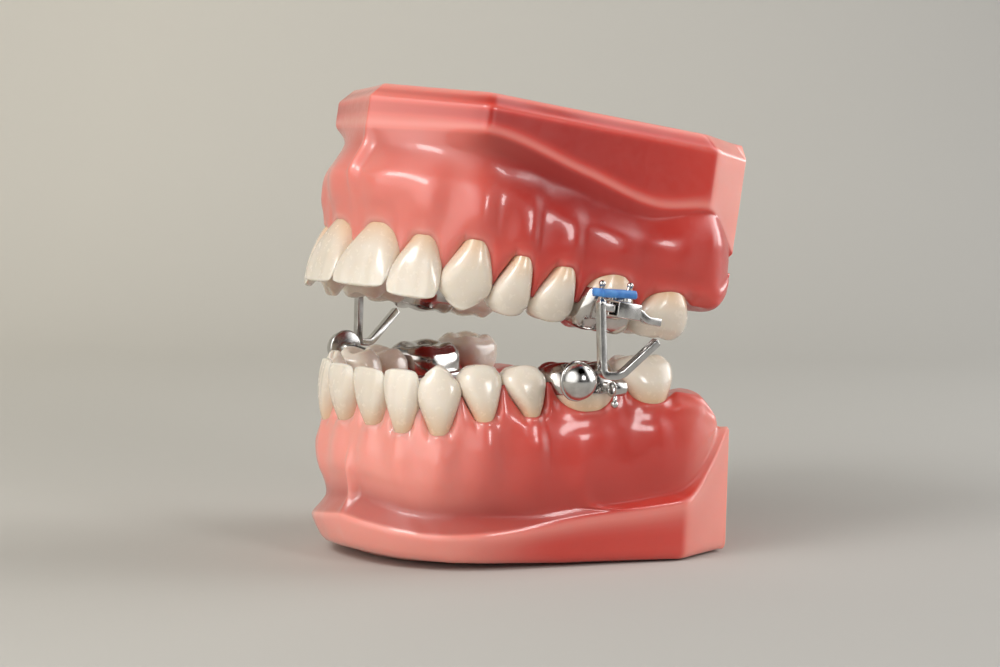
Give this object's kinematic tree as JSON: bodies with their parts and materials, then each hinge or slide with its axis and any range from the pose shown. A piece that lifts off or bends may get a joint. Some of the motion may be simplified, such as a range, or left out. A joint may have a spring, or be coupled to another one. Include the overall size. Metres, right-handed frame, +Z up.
{
  "type": "dental study model with herbst type appliance",
  "caption": "Open pair of tooth bearing jaw bases in glossy pink resin, wearing steel molar crowns joined across the bite by wire elbows and domed side arms.",
  "frame": {"origin": "a point of the lower base's flat underside, on the mirror plane, 26 mm behind the front of the lower tooth arch", "axes": "+X to the model's left side, +Y from the front teeth to the back, +Z up from the flat underside"},
  "size_m": [0.0686, 0.0627, 0.0741],
  "materials": {
    "pink_acrylic": "polished, slightly see-through gum pink",
    "ivory_resin": "polished tooth white",
    "polished_steel": "bright polished stainless steel",
    "blue_elastic": "stretched satin elastic"
  },
  "bodies": {
    "lower_jaw": {"lower_gum_base": "pink_acrylic", "lower_left_archwire_tube": "polished_steel", "lower_left_arm": "polished_steel", "lower_left_canine": "ivory_resin", "lower_left_central_incisor": "ivory_resin", "lower_left_first_molar": "ivory_resin", "lower_left_first_premolar": "ivory_resin", "lower_left_lateral_incisor": "ivory_resin", "lower_left_molar_crown": "polished_steel", "lower_left_second_molar": "ivory_resin", "lower_left_second_premolar": "ivory_resin", "lower_lingual_arch": "polished_steel", "lower_right_archwire_tube": "polished_steel", "lower_right_arm": "polished_steel", "lower_right_canine": "ivory_resin", "lower_right_central_incisor": "ivory_resin", "lower_right_first_molar": "ivory_resin", "lower_right_first_premolar": "ivory_resin", "lower_right_lateral_incisor": "ivory_resin", "lower_right_molar_crown": "polished_steel", "lower_right_second_molar": "ivory_resin", "lower_right_second_premolar": "ivory_resin"},
    "upper_jaw": {"upper_gum_base": "pink_acrylic", "upper_left_canine": "ivory_resin", "upper_left_central_incisor": "ivory_resin", "upper_left_elbow": "polished_steel", "upper_left_elbow_tube": "polished_steel", "upper_left_first_molar": "ivory_resin", "upper_left_first_premolar": "ivory_resin", "upper_left_lateral_incisor": "ivory_resin", "upper_left_ligature": "blue_elastic", "upper_left_molar_crown": "polished_steel", "upper_left_second_molar": "ivory_resin", "upper_left_second_premolar": "ivory_resin", "upper_right_canine": "ivory_resin", "upper_right_central_incisor": "ivory_resin", "upper_right_elbow": "polished_steel", "upper_right_elbow_tube": "polished_steel", "upper_right_first_molar": "ivory_resin", "upper_right_first_premolar": "ivory_resin", "upper_right_lateral_incisor": "ivory_resin", "upper_right_ligature": "blue_elastic", "upper_right_molar_crown": "polished_steel", "upper_right_second_molar": "ivory_resin", "upper_right_second_premolar": "ivory_resin"}
  },
  "joints": [
    {"name": "jaw_opening", "type": "hinge", "parent": "lower_jaw", "child": "upper_jaw", "pos_m": [0, 0.038, 0.031], "axis": [-1, 0, 0], "range_deg": [-5, 15]}
  ]
}
